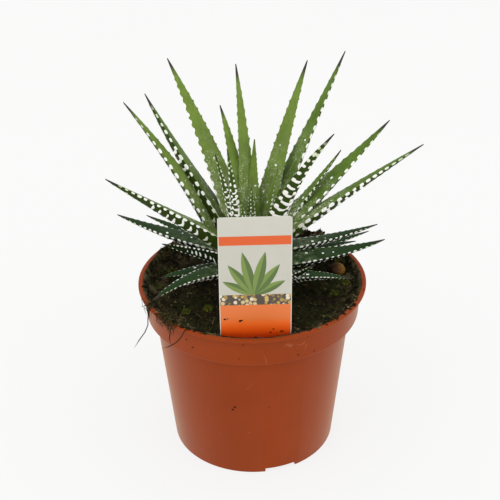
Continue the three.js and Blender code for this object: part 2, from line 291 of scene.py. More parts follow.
outer_outline = [
    (0, 0), (FOOT_RADIUS, 0),
    (BODY_TOP_RADIUS, BAND_FOOT_Z - STEP_HEIGHT), (BAND_FOOT_RADIUS, BAND_FOOT_Z),
    (BAND_TOP_RADIUS, BAND_TOP_Z), (LIP_RADIUS, BAND_TOP_Z), (LIP_RADIUS, POT_HEIGHT),
]
inner_outline = [
    (INSIDE_TOP_RADIUS + LIP_FILLET, POT_HEIGHT),
    (INSIDE_TOP_RADIUS + FILLET_DEPTH, POT_HEIGHT - FILLET_DEPTH),
    (INSIDE_TOP_RADIUS, POT_HEIGHT - LIP_FILLET), (BAND_FOOT_RADIUS - WALL, BAND_FOOT_Z + STEP_HEIGHT),
    (BODY_TOP_RADIUS - WALL, BAND_FOOT_Z), (FOOT_RADIUS - WALL, FLOOR_THICKNESS), (0, FLOOR_THICKNESS),
]
pot = piece_from(turned(outer_outline + inner_outline, POT_ROUNDING, POT_STEPS), "nursery_pot", pot_material)
roofs = piece_from(channel_blocks(CHANNEL_INNER_RADIUS - FLOOR_THICKNESS, CHANNEL_WIDTH + 2 * FLOOR_THICKNESS,
                                  0, CHANNEL_HEIGHT + FLOOR_THICKNESS), "channel_roofs", pot_material)
filled = turned(outer_outline + [(0, POT_HEIGHT)], POT_ROUNDING, POT_STEPS)
combined(roofs, piece_from(filled, "filled_pot", pot_material), "INTERSECT")
combined(pot, roofs, "UNION")
channels = channel_blocks(CHANNEL_INNER_RADIUS, CHANNEL_WIDTH, -CHANNEL_HEIGHT, 2 * CHANNEL_HEIGHT)
combined(pot, piece_from(channels, "channels", pot_material), "DIFFERENCE")
combined(pot, piece_from(drain_rods(), "drains", pot_material), "DIFFERENCE")
pot.data.shade_smooth()
pot.data.set_sharp_from_angle(angle=math.radians(40))
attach(pot, "root")
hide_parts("pot")

# The soil: dark moist peat that fills the pot to a few millimetres under the lip. It is banked against
# the wall and heaped up at the left front and the right back; near the wall it has dried paler.
SOIL_Z = 88 * mm
SOIL_FOOT_Z = 4.1 * mm
SOIL_GAP = 0.3 * mm
SOIL_RELIEF = 1.4 * mm
BANK_RADIUS = 49.5 * mm
BANK_RISE = 7.4 * mm
SOIL_EDGE = INSIDE_TOP_RADIUS + 1.5 * mm
SURFACE_MARK = 1.5 * POT_HEIGHT
SOIL_STEPS = 180
SOIL_RINGS = 56
LUMP_SCALE = 90
BANK_WAVE = 0.25
BANK_WAVE_SCALE = 55
LIP_COVER = 0.2 * mm
PEAT_STOPS = [(0.3, 0x0D0B06), (0.5, 0x1E1A0F), (0.62, 0x302A16), (0.78, 0x4C3F22)]
GREEN_PEAT = 0x20240C
DRY_PEAT = 0x5E573E
DRY_RADII = (44 * mm, 54 * mm)
# Heaps, as azimuth, spread, radius, width and height, in degrees and millimetres.
HEAPS = [(-38, 17, 53, 6, 2.6), (135, 5.5, 53.5, 3.2, 12.5), (146, 7, 55.5, 3, 3), (-122, 9, 55, 4, 2.2)]


def graded(tree, value, stops):
    """A colour for a value, from (value, colour) stops."""
    ramp = add_node(tree, "ValToRGB", {"Fac": value})
    elements = ramp.color_ramp.elements
    while len(elements) < len(stops):
        elements.new(1)
    for element, (position, colour) in zip(elements, stops):
        element.position = position
        element.color = srgb(colour)
    return ramp.outputs["Color"]


def vector_worked(tree, operation, first, second=(0, 0, 0)):
    """The outputs of a sum with vectors."""
    return add_node(tree, "VectorMath", {0: first, 1: second}, operation=operation).outputs


def lip_height(radius):
    """Height of the pot's rounded lip over a radius."""
    inwards = INSIDE_TOP_RADIUS + LIP_FILLET - radius
    return POT_HEIGHT - LIP_FILLET + math.sqrt(max(0, LIP_FILLET ** 2 - inwards ** 2))


def soil_height(x, y):
    """Height of the soil's surface over a point; it banks up against the pot's wall and onto its lip."""
    lumps = noise.fractal(Vector((x, y, 0.02)) * LUMP_SCALE, 0.8, 2.1, 5)
    radius = math.hypot(x, y)
    azimuth = math.degrees(math.atan2(x, -y))
    bank = min(1, max(0, (radius - BANK_RADIUS) / (SOIL_EDGE - BANK_RADIUS)))
    bank *= bank * (1 + BANK_WAVE * noise.noise(Vector((x, y, 0)) * BANK_WAVE_SCALE))
    level = SOIL_Z + SOIL_RELIEF * lumps * (1 - 0.5 * bank) + BANK_RISE * bank
    if radius > INSIDE_TOP_RADIUS:
        level = max(level, lip_height(radius) + LIP_COVER)
    for middle, spread, ring, width, height in HEAPS:
        off = (azimuth - middle) / spread
        level += height * mm * math.exp(-off ** 2 - ((radius / mm - ring) / width) ** 2)
    return level


soil_material, tree, shader = new_material("peat", 0.97, 0.08)
place = object_place(tree)
peat = graded(tree, noise_value(tree, place, 330, 6, 0.65), PEAT_STOPS)
green = ranged(tree, noise_value(tree, place, 60, 3), 0.42, 0.62, 0, 0.7)
peat = mixed(tree, green, peat, GREEN_PEAT)
flat_place = vector_worked(tree, "MULTIPLY", place, (1, 1, 0))["Vector"]
radius = vector_worked(tree, "LENGTH", flat_place)["Value"]
dry = times(tree, ranged(tree, radius, *DRY_RADII),
            ranged(tree, noise_value(tree, place, 160, 4, 0.6), 0.42, 0.58, 0, 0.85))
paint(tree, shader, mixed(tree, dry, peat, DRY_PEAT))
bumped(tree, shader, noise_value(tree, place, 800, 6, 0.7), 0.9, 0.6 * mm)

soil_outline = [
    (0, SOIL_FOOT_Z), (FOOT_RADIUS - WALL - SOIL_GAP, SOIL_FOOT_Z),
    (BODY_TOP_RADIUS - WALL - SOIL_GAP, BAND_FOOT_Z + SOIL_GAP),
    (BAND_FOOT_RADIUS - WALL - SOIL_GAP, BAND_FOOT_Z + STEP_HEIGHT + SOIL_GAP),
    (INSIDE_TOP_RADIUS - SOIL_GAP, POT_HEIGHT - LIP_FILLET),
    (INSIDE_TOP_RADIUS + FILLET_DEPTH - SOIL_GAP / 3, POT_HEIGHT - FILLET_DEPTH + SOIL_GAP / 3),
    (SOIL_EDGE, lip_height(SOIL_EDGE)),
]
soil_top = [(SOIL_EDGE * (1 - i / SOIL_RINGS), SURFACE_MARK) for i in range(SOIL_RINGS + 1)]
bm = turned(soil_outline + soil_top, 0, SOIL_STEPS)
for vert in bm.verts:
    if vert.co.z > POT_HEIGHT + LIP_FILLET:
        vert.co.z = soil_height(vert.co.x, vert.co.y)
soil = piece_from(bm, "peat_filling", soil_material)
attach(soil, "root")
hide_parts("soil")

# Loose peat lies on the soil: dark and pale crumbs, and thin pale fibres. Each kind is one piece of
# many small bodies, drawn at random inside the lip and clear of the label.
CRUMB_COUNT = 2300
ROUND_CRUMB_SIZE = 1.1 * mm
FIBRE_COUNT = 280
LOOSE_EDGE = SOIL_EDGE - 0.8 * mm
LABEL_X = 1.5 * mm
LABEL_Y = -51.3 * mm
LABEL_WIDTH = 34.8 * mm
LABEL_CLEARANCE = 2 * mm


def around(azimuth, radius, z=0.0):
    """The point at an azimuth in degrees, 0 being the label's side and 90 the right, and a radius."""
    angle = math.radians(azimuth)
    return Vector((radius * math.sin(angle), -radius * math.cos(angle), z))


def soil_place(draw, low_radius, high_radius):
    """A drawn point on the soil, clear of the label."""
    while True:
        radius = math.sqrt(draw.uniform(low_radius ** 2, high_radius ** 2))
        point = around(draw.uniform(-180, 180), radius)
        aside = abs(point.x - LABEL_X) - LABEL_WIDTH / 2
        if abs(point.y - LABEL_Y) > LABEL_CLEARANCE or aside > LABEL_CLEARANCE:
            return Vector((point.x, point.y, soil_height(point.x, point.y)))


def drawn_turn(draw):
    return Matrix.Rotation(draw.uniform(0, 2 * math.pi), 4, Vector([draw.gauss(0, 1) for _ in range(3)]))


def add_crumb(bm, draw, place, size, rounds=1):
    """An uneven lump; its vertices are returned."""
    shape = Matrix.Diagonal((size, size * draw.uniform(0.6, 1), size * draw.uniform(0.45, 0.8), 1))
    made = bmesh.ops.create_icosphere(bm, subdivisions=rounds, radius=1,
                                      matrix=Matrix.Translation(place) @ shape @ drawn_turn(draw))["verts"]
    for vert in made:
        vert.co += (vert.co - place) * draw.uniform(-0.25, 0.25)
    return made


def add_strand(bm, points, radius, sides=5):
    """A thin thread through points that ends in a point; its vertices are returned."""
    heading = points[1] - points[0]
    start = Matrix.Translation(points[0]) @ heading.to_track_quat("Z", "Y").to_matrix().to_4x4()
    ring = bmesh.ops.create_circle(bm, cap_ends=True, segments=sides, radius=radius, matrix=start)["verts"]
    made = list(ring)
    edges = [e for e in {e for v in ring for e in v.link_edges} if all(v in ring for v in e.verts)]
    for here, there in zip(points, points[1:]):
        step = there - here
        grown = bmesh.ops.extrude_edge_only(bm, edges=edges)["geom"]
        ring = [g for g in grown if isinstance(g, bmesh.types.BMVert)]
        edges = [g for g in grown if isinstance(g, bmesh.types.BMEdge) and all(v in ring for v in g.verts)]
        bmesh.ops.rotate(bm, cent=here, matrix=heading.rotation_difference(step).to_matrix(), verts=ring)
        bmesh.ops.translate(bm, vec=step, verts=ring)
        heading = step
        made += ring
    bmesh.ops.pointmerge(bm, verts=ring, merge_co=points[-1])
    return [v for v in made if v.is_valid]


def wandering(draw, start, heading, length, steps, wander):
    """Points of a thread that strays from its heading as it goes."""
    points = [start]
    heading = heading.normalized()
    for _ in range(steps):
        heading = (heading + Vector([draw.gauss(0, wander) for _ in range(3)])).normalized()
        points.append(points[-1] + heading * length / steps)
    return points


def toned_mesh():
    """An empty mesh whose vertices hold a shade from 0 to 1, which the material reads."""
    bm = bmesh.new()
    bm.verts.layers.float.new("tone")
    return bm


def set_tone(bm, verts, tone):
    for vert in verts:
        vert[bm.verts.layers.float["tone"]] = tone


def vertex_value(tree, name, output="Fac"):
    return add_node(tree, "Attribute", attribute_name=name).outputs[output]


def loose_material(name, stops, scale, roughness=0.95):
    """Small loose bits: a shade for each bit, broken up by a fine grain."""
    material, tree, shader = new_material(name, roughness, 0.1)
    tone = vertex_value(tree, "tone")
    grain = noise_value(tree, object_place(tree), scale, 4, 0.6)
    value = worked(tree, "ADD", times(tree, tone, 0.75), times(tree, grain, 0.25))
    paint(tree, shader, graded(tree, value, stops))
    bumped(tree, shader, grain, 0.5, 0.2 * mm)
    return material


draw = random.Random(4)
crumb_material = loose_material("peat_crumbs", [
    (0.1, 0x0E0C07), (0.42, 0x211B0F), (0.64, 0x3B301A), (0.82, 0x5E4F32), (0.94, 0x9A8D6C)], 1500)
bm = toned_mesh()
for _ in range(CRUMB_COUNT):
    size = min(0.3 + draw.expovariate(3), 1.6) * mm
    point = soil_place(draw, 8 * mm, LOOSE_EDGE)
    tone = draw.random() * min(1, 0.9 * mm / size)
    set_tone(bm, add_crumb(bm, draw, point, size, 2 if size > ROUND_CRUMB_SIZE else 1), tone)
crumbs = piece_from(bm, "peat_crumbs", crumb_material, sharp_angle=80)
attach(crumbs, "root")

fibre_material = loose_material("peat_fibres", [
    (0.1, 0x1E190C), (0.45, 0x352C16), (0.75, 0x51482A), (0.93, 0x938A64)], 900)
bm = toned_mesh()
for _ in range(FIBRE_COUNT):
    start = soil_place(draw, 12 * mm, SOIL_EDGE - 3 * mm) + Vector((0, 0, 0.2 * mm))
    heading = Vector((draw.gauss(0, 1), draw.gauss(0, 1), draw.uniform(0, 0.35)))
    points = wandering(draw, start, heading, draw.uniform(3, 9) * mm, 7, 0.35)
    for point in points:
        reach = min(1, LOOSE_EDGE / math.hypot(point.x, point.y))
        point.x, point.y = point.x * reach, point.y * reach
        point.z = max(point.z, soil_height(point.x, point.y) + 0.1 * mm)
    set_tone(bm, add_strand(bm, points, draw.uniform(0.06, 0.15) * mm), draw.random())
fibres = piece_from(bm, "peat_fibres", fibre_material, sharp_angle=80)
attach(fibres, "root")

# Moss grows in small cushions, brightest at the right of the rosette and thin along the wall.
# The larger cushions, as x, y, radius and number of leaves, and how long the leaves are. Millimetres.
MOSS_PLACES = [(43, -5, 3.2, 90), (50, 4.5, 2.2, 60), (-23.4, -19.5, 3, 80), (-34, -22, 2.2, 50),
               (-45, 18, 4, 80), (48, 24, 3, 50)]
MOSS_LEAF_LENGTHS = (1.0, 2.2)
WALL_TUFT_COUNT = 210
WALL_TUFT_LEAVES = 14
MOSS_LEAF_RADIUS = 0.3 * mm
MOSS_TIP_RADIUS = 0.04 * mm
MOSS_LEAN = 0.9


def add_tuft(bm, draw, place, radius, count):
    """A cushion of short pointed moss leaves; their vertices are returned."""
    made = []
    for _ in range(count):
        foot = place + around(draw.uniform(-180, 180), radius * math.sqrt(draw.random()))
        up = Vector((draw.gauss(0, MOSS_LEAN), draw.gauss(0, MOSS_LEAN), 1)).to_track_quat("Z", "Y")
        matrix = Matrix.Translation(foot) @ up.to_matrix().to_4x4() @ Matrix.Diagonal((1, 0.5, 1, 1))
        made += bmesh.ops.create_cone(bm, cap_ends=True, segments=4, radius1=MOSS_LEAF_RADIUS,
                                      radius2=MOSS_TIP_RADIUS, depth=draw.uniform(*MOSS_LEAF_LENGTHS) * mm,
                                      matrix=matrix)["verts"]
    return made


moss_material = loose_material("moss", [
    (0.1, 0x14160A), (0.4, 0x262A10), (0.65, 0x4E5618), (0.85, 0x7A8026), (0.97, 0xA3A648)], 1300, 0.9)
bm = toned_mesh()
for x, y, radius, count in MOSS_PLACES:
    x, y = x * mm, y * mm
    tuft = add_tuft(bm, draw, Vector((x, y, soil_height(x, y) + 0.5 * mm)), radius * mm, count)
    for vert in tuft:
        set_tone(bm, [vert], 0.45 + 0.5 * draw.random())
for _ in range(WALL_TUFT_COUNT):
    point = soil_place(draw, 20 * mm, SOIL_EDGE - 1 * mm)
    set_tone(bm, add_tuft(bm, draw, point + Vector((0, 0, 0.4 * mm)), draw.uniform(0.8, 2) * mm,
                          WALL_TUFT_LEAVES), draw.uniform(0, 0.55))
moss = piece_from(bm, "moss_tufts", moss_material, sharp_angle=60)
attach(moss, "root")

# Peat and moss that have spilled over the lip at the left front, and four dark root strands that
# hang over the lip there. A few crumbs cling to the pot and to the foot of the label.
SPILL_COUNT = 300
# Spilled heaps around the lip, as azimuth and spread in degrees; the largest is listed three times.
SPILL_HEAPS = [(-43, 21), (-43, 21), (-43, 21), (-46, 9), (-122, 10), (135, 7), (144, 8), (52, 30)]
SPILL_TUFT_COUNT = 80
SPILL_TUFT_LEAVES = 12
SPILL_FIBRE_COUNT = 60
# The rings, in millimetres from the axis, on which spilled crumbs, tufts and fibres lie.
CRUMB_RING = (52.5, 59.6)
TUFT_RING = (51, 58.5)
FIBRE_RING = (51, 57)
# Thin fibres that droop over the lip: their azimuths, and radii from foot to end in millimetres.
DROOP_COUNT = 42
DROOP_PLACES = (-62, -48, -46, -44)
DROOP_RADII = (56.5, 58.8, 60.3, 60.3, 59.6)
# Crumbs that cling to the label's face, the band and the body, as x, y, z and size. Millimetres.
CLINGING_CRUMBS = [
    (-13.4, -52.1, 102.9, 0.7), (-12.2, -52.1, 103.1, 0.4), (-6.1, -51.9, 101.7, 0.8),
    (-5.2, -51.9, 102, 0.5), (8.7, -51.4, 94.8, 0.6), (10.1, -51.35, 96.5, 0.5), (14.2, -51.25, 95.3, 0.8),
    (-9.5, -47.8, 46.6, 0.8), (-10.6, -47.4, 44.7, 0.6), (22.2, -51.9, 81.4, 0.5), (30.4, -47.6, 80.7, 0.4),
    (-6.9, -56.1, 82.3, 0.4), (-4.8, -56.9, 91, 0.4), (-33, -46.4, 87.5, 0.5), (-30, -48.4, 84, 0.4),
    (7.9, -48.1, 46.6, 0.3),
]
STRAND_RADIUS = 0.26 * mm
# Points along each root strand, in millimetres.
ROOT_STRANDS = [
    [(-45, -16, 92.5), (-48.5, -19, 95.9), (-51, -23.5, 96.1), (-52.2, -30.8, 95.9), (-52.9, -31.6, 91),
     (-53.2, -31.5, 86.5), (-55, -31.2, 82), (-58.2, -30.8, 77), (-61.5, -30, 71)],
    [(-29, -43, 94.5), (-31.5, -48, 96.1), (-33.2, -50.8, 95.8), (-35, -51.6, 92.5), (-37.5, -51, 89),
     (-41, -49.8, 86), (-45.6, -48, 83.1)],
    [(-48, -25.5, 95.8), (-50.5, -26.4, 96), (-53.6, -27.6, 96.1), (-57, -28.8, 95.6)],
    [(-38, -43, 96.4), (-39.6, -46.2, 96.2), (-40.4, -48.6, 94.5), (-41, -49.2, 90), (-40.6, -49.6, 86.5)],
]


def spill_place(draw, ring):
    """A drawn point in one of the spilled heaps, on the soil's edge or the lip."""
    middle, spread = draw.choice(SPILL_HEAPS)
    azimuth = middle + min(max(draw.gauss(0, spread / 2), -spread), spread)
    point = around(azimuth, draw.uniform(*ring) * mm)
    radius = math.hypot(point.x, point.y)
    point.z = soil_height(point.x, point.y) if radius < SOIL_EDGE else lip_height(SOIL_EDGE)
    return point


bm = toned_mesh()
for _ in range(SPILL_COUNT):
    size = min(0.3 + draw.expovariate(2.6), 1.3) * mm
    point = spill_place(draw, CRUMB_RING) + Vector((0, 0, 0.25 * size))
    set_tone(bm, add_crumb(bm, draw, point, size), draw.random())
for x, y, z, size in CLINGING_CRUMBS:
    set_tone(bm, add_crumb(bm, draw, Vector((x, y, z)) * mm, size * mm), 0.2)
spilled_crumbs = piece_from(bm, "spilled_crumbs", crumb_material, sharp_angle=80)
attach(spilled_crumbs, "root")

bm = toned_mesh()
for _ in range(SPILL_TUFT_COUNT):
    point = spill_place(draw, TUFT_RING) + Vector((0, 0, 0.3 * mm))
    set_tone(bm, add_tuft(bm, draw, point, draw.uniform(0.6, 1.5) * mm, SPILL_TUFT_LEAVES),
             draw.uniform(0, 0.5))
spilled_moss = piece_from(bm, "spilled_moss", moss_material, sharp_angle=60)
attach(spilled_moss, "root")

bm = toned_mesh()
for _ in range(SPILL_FIBRE_COUNT):
    start = spill_place(draw, FIBRE_RING) + Vector((0, 0, 0.2 * mm))
    heading = Vector((draw.gauss(-0.4, 1), draw.gauss(-0.5, 1), draw.uniform(0, 0.3)))
    points = wandering(draw, start, heading, draw.uniform(3, 8) * mm, 6, 0.3)
    for point in points:
        point.z = max(point.z, POT_HEIGHT + 0.15 * mm)
    set_tone(bm, add_strand(bm, points, draw.uniform(0.08, 0.18) * mm), draw.uniform(0.2, 1))
for _ in range(DROOP_COUNT):
    azimuth = draw.choice(DROOP_PLACES) + draw.gauss(0, 2.4)
    drop = draw.uniform(1.5, 8)
    azimuths = [azimuth] + [azimuth + draw.gauss(0, 2) for _ in range(4)]
    heights = [96, 96.6, 95.6, 95.4 - 0.5 * drop, 95.4 - drop]
    points = [around(*place) * mm for place in zip(azimuths, DROOP_RADII, heights)]
    set_tone(bm, add_strand(bm, points, draw.uniform(0.11, 0.21) * mm), draw.uniform(0.1, 0.8))
spilled_fibres = piece_from(bm, "spilled_fibres", fibre_material, sharp_angle=80)
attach(spilled_fibres, "root")

bm = toned_mesh()
for strand in ROOT_STRANDS:
    set_tone(bm, add_strand(bm, [Vector(point) * mm for point in strand], STRAND_RADIUS, 7), 0.12)
root_strands = piece_from(bm, "root_strands", fibre_material, sharp_angle=80)
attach(root_strands, "root")

# The label: a thin white plastic tag, die-cut with rounded top corners and pushed in at the front.
# Both sides are printed with plain bands and a simple plant sign.
LABEL_THICKNESS = 0.6 * mm
LABEL_TOP_Z = 158.2 * mm
LABEL_FOOT_Z = 80.6 * mm
LABEL_CORNER = 1.6 * mm
LABEL_EDGE = 0.12 * mm
LABEL_TURN = 1.8
# Heights and places of the print, in millimetres.
STRIPE_TOP_Z = 148.3
STRIPE_FOOT_Z = 143.5
PICTURE_FOOT_Z = 110.7
FADE_HEIGHTS = (92, 103)
PRINT_HALF_WIDTH = 17
PRINT_BACK_Y = LABEL_Y / mm + 0.8
PEBBLE_TOP_Z = 116.5
SIGN_FOOT = (0.8, 0, 116)
# The sign's leaves, as lean in degrees, length and width.
SIGN_LEAVES = [(-62, 17, 4.2), (-36, 21, 4.8), (62, 17, 4.2), (36, 21, 4.8), (-13, 24.5, 5), (13, 24.5, 5)]
SIGN_COLOURS = (0x74893F, 0x536B31)
PAPER_COLOURS = (0xBCBAAD, 0xC4C2B6)
TOP_COLOURS = (0xC0BEB2, 0xC6C4B8)
RIM_COLOUR = 0xD2D0C6
STRIPE_COLOUR = 0xD6581C
FOOT_STOPS = [(0, 0xF2440C), (0.35, 0xF4580E), (0.75, 0xEE6A22), (1, 0xDE7230)]
PEBBLE_STOPS = [(0.1, 0x6B5C45), (0.5, 0xC9A24A), (0.8, 0xDCD3BC)]
PEBBLE_JOINT = 0x4B4234


def above(tree, value, limit):
    return worked(tree, "GREATER_THAN", value, limit)


def lens_mask(tree, print_place, angle, length, width):
    """1 inside a pointed leaf shape that leans on the sign's foot, and 1 in its right half."""
    sine, cosine = math.sin(math.radians(angle)), math.cos(math.radians(angle))
    from_foot = vector_worked(tree, "SUBTRACT", print_place, SIGN_FOOT)["Vector"]
    along = vector_worked(tree, "DOT_PRODUCT", from_foot, (sine / length, 0, cosine / length))["Value"]
    off = vector_worked(tree, "DOT_PRODUCT", from_foot, (cosine, 0, -sine))["Value"]
    bulge = times(tree, along, worked(tree, "SUBTRACT", 1.0, along))
    bulge = times(tree, bulge, 2 * width)
    return above(tree, bulge, worked(tree, "ABSOLUTE", off)), above(tree, off, 0)


label_material, tree, shader = new_material("printed_tag", 0.34)
place = object_place(tree)
print_place = vector_worked(tree, "MULTIPLY", place, [1 / mm] * 3)["Vector"]
across, depth, up = axes(tree, print_place)
soft = noise_value(tree, place, 130, 3)
colour = mixed(tree, soft, *PAPER_COLOURS)
for angle, length, width in SIGN_LEAVES:
    inside, right_half = lens_mask(tree, print_place, angle, length, width)
    colour = mixed(tree, inside, colour, mixed(tree, right_half, *SIGN_COLOURS))
pebbles = add_node(tree, "TexVoronoi", {"Vector": place, "Scale": 520})
pebble_tone = add_node(tree, "SeparateColor", {"Color": pebbles.outputs["Color"]}).outputs[0]
pebble_colour = graded(tree, pebble_tone, PEBBLE_STOPS)
joint = ranged(tree, pebbles.outputs["Distance"], 0.45, 0.6)
pebble_colour = mixed(tree, joint, pebble_colour, PEBBLE_JOINT)
colour = mixed(tree, above(tree, up, PEBBLE_TOP_Z), pebble_colour, colour)
orange = graded(tree, ranged(tree, up, *FADE_HEIGHTS), FOOT_STOPS)
colour = mixed(tree, above(tree, up, PICTURE_FOOT_Z), orange, colour)
colour = mixed(tree, above(tree, up, STRIPE_FOOT_Z), colour, STRIPE_COLOUR)
colour = mixed(tree, above(tree, up, STRIPE_TOP_Z), colour, mixed(tree, soft, *TOP_COLOURS))
sideways = worked(tree, "ABSOLUTE", worked(tree, "SUBTRACT", across, LABEL_X / mm))
unprinted = worked(tree, "MAXIMUM", above(tree, sideways, PRINT_HALF_WIDTH), above(tree, depth, PRINT_BACK_Y))
paint(tree, shader, mixed(tree, unprinted, colour, RIM_COLOUR))
bumped(tree, shader, noise_value(tree, place, 500, 2), 0.06, 0.1 * mm)

bm = bmesh.new()
label_shape = Matrix.Diagonal((LABEL_WIDTH, LABEL_TOP_Z - LABEL_FOOT_Z, 1, 1))
bmesh.ops.create_grid(bm, x_segments=1, y_segments=1, size=0.5, matrix=label_shape)
top_corners = [v for v in bm.verts if v.co.y > 0]
bmesh.ops.bevel(bm, geom=top_corners, offset=LABEL_CORNER, segments=6,
                profile=0.5, affect="VERTICES", material=-1)
grown = bmesh.ops.extrude_face_region(bm, geom=bm.faces[:])["geom"]
grown = [g for g in grown if isinstance(g, bmesh.types.BMVert)]
bmesh.ops.translate(bm, vec=(0, 0, LABEL_THICKNESS), verts=grown)
bmesh.ops.recalc_face_normals(bm, faces=bm.faces)
rims = [e for e in bm.edges if abs(e.verts[0].co.z - e.verts[1].co.z) < LABEL_EDGE]
bmesh.ops.bevel(bm, geom=rims, offset=LABEL_EDGE, segments=2, profile=0.5, affect="EDGES", material=-1)
upright = Matrix.Translation((LABEL_X, LABEL_Y, (LABEL_TOP_Z + LABEL_FOOT_Z) / 2))
upright = upright @ rotation(LABEL_TURN, "Z")
upright = upright @ rotation(90, "X")
bmesh.ops.transform(bm, matrix=upright @ Matrix.Translation((0, 0, -LABEL_THICKNESS / 2)), verts=bm.verts)
label = piece_from(bm, "plant_label", label_material, sharp_angle=60)
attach(label, "root")
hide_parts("label")

# The stem: a short fleshy rootstock that carries every leaf. It stays as the CAD has it, since
# the leaf bases wrap it; it gets the look of pale, dry leaf scars.
STEM_STOPS = [(0.2, 0x5E5A33), (0.6, 0x8A8B55), (0.9, 0xA9A678)]
SCAR_COLOUR = 0x6D6A3E
stem_material, tree, shader = new_material("rootstock", 0.75)
place = object_place(tree)
rings = add_node(tree, "TexWave", {"Vector": place, "Scale": 90, "Distortion": 3}, bands_direction="Z")
stem_colour = graded(tree, rings.outputs["Fac"], STEM_STOPS)
paint(tree, shader, mixed(tree, noise_value(tree, place, 400), stem_colour, SCAR_COLOUR))
bumped(tree, shader, rings.outputs["Fac"], 0.4, 0.3 * mm)
stem = frame["nodes"]["stem"]
stem.data.materials.clear()
stem.data.materials.append(stem_material)

# The leaves: firm, pointed and keeled. The inner face is flat and smooth; the back carries raised
# white bands, and white tubercles stand along both margins. Each leaf is its own piece.
# Lengths are in millimetres here; build_leaf scales them.
STEM_Y = 4
TIP_WIDTH = 0.5
THICKNESS_SHARE = 0.5
WIDTH_TAPER = 0.88
THICKNESS_TAPER = 0.88
SHOULDER = 0.12
FOOT_SHARE = 0.8
TIP_THICKNESS = 0.45
KEEL_DEPTH = 0.84
KEEL_FULLNESS = 1.9
KEEL_SHARPENING = 0.75
KEEL_ROUNDNESS = 0.8
FACE_CROWN = 0.12
RING_PITCH = 0.5
BAND_PITCH = 5.3
BAND_HALF_THICKNESS = 1.15
LONGEST_REACH = 3.4
BANDED_SHARE = 0.5
BANDS_END_SHARE = BANDED_SHARE + 0.16
CROSSING_CHANCE = 0.35
KEEL_OVALS_SHARE = 0.28
OVAL_HALF_LENGTH = 1.75
OVAL_WIDTH_SHARE = 0.85
MARK_ROUNDNESS = 2.7
MARK_WOBBLE = 0.45
WOBBLE_SCALE = 0.7
# How far along the leaf from a vertex a mark can reach it.
BAND_WINDOW = 5
OVAL_WINDOW = 3
NEAR_WINDOW = 2
LINE_HALF_WIDTH = 0.3
LINED_SHARE = 0.36
TUBERCLE_HEIGHT = 0.5
TOOTH_HEIGHT = 0.75
TOOTH_LENGTH = 1.0
FULL_MARKS_LENGTH = 95
SHORT_MARKS_LENGTH = 50
BARE_TIP = 0.93
# The painted shade that darkens every leaf's foot, where the leaves crowd together.
FOOT_PAINTED_SHADE = 0.15
# How dark the painted shade makes a leaf's foot where it is not the usual amount, by the leaf's number; these
# feet stand deep in their neighbours' shade.
SHADED_FEET = {14: 1, 13: 0.45, 17: 0.35, 18: 0.3}
# Set leans of the margins' ovals: first on the side towards the back of the pot, then on the other.
OVAL_LEANS = {11: (0.9, 0.4), 15: (0.55, 0.1)}
FULL_RELIEF_HALF_WIDTH = 3
HAZE_COLOUR = 0xA9B488
FRECKLE_COLOUR = 0xC4CCA8
DRY_COLOUR = 0x3A3530
# The tubercles' white, from a leaf's foot to its tip.
TUBERCLE_STOPS = [(0, 0x868E68), (0.16, 0xA6AE8C), (0.26, 0xCDD1B8), (0.36, 0xFFFFFB), (0.8, 0xFCFDF4),
                  (1, 0xC4D0A6)]
# The skin of each kind of leaf, as colours of the face, colours of the back, freckles and gloss.
SKINS = {
    "leaf_upright": ((0x627B32, 0x7A9141), (0x2E4014, 0x40551E), 0.9, 0.07),
    "leaf_spreading": ((0x4E6A27, 0x668033), (0x29390F, 0x384A16), 0.9, 0.06),
    "leaf_low": ((0x1E331B, 0x2C4521), (0x172310, 0x222F15), 0.3, 0.04),
}

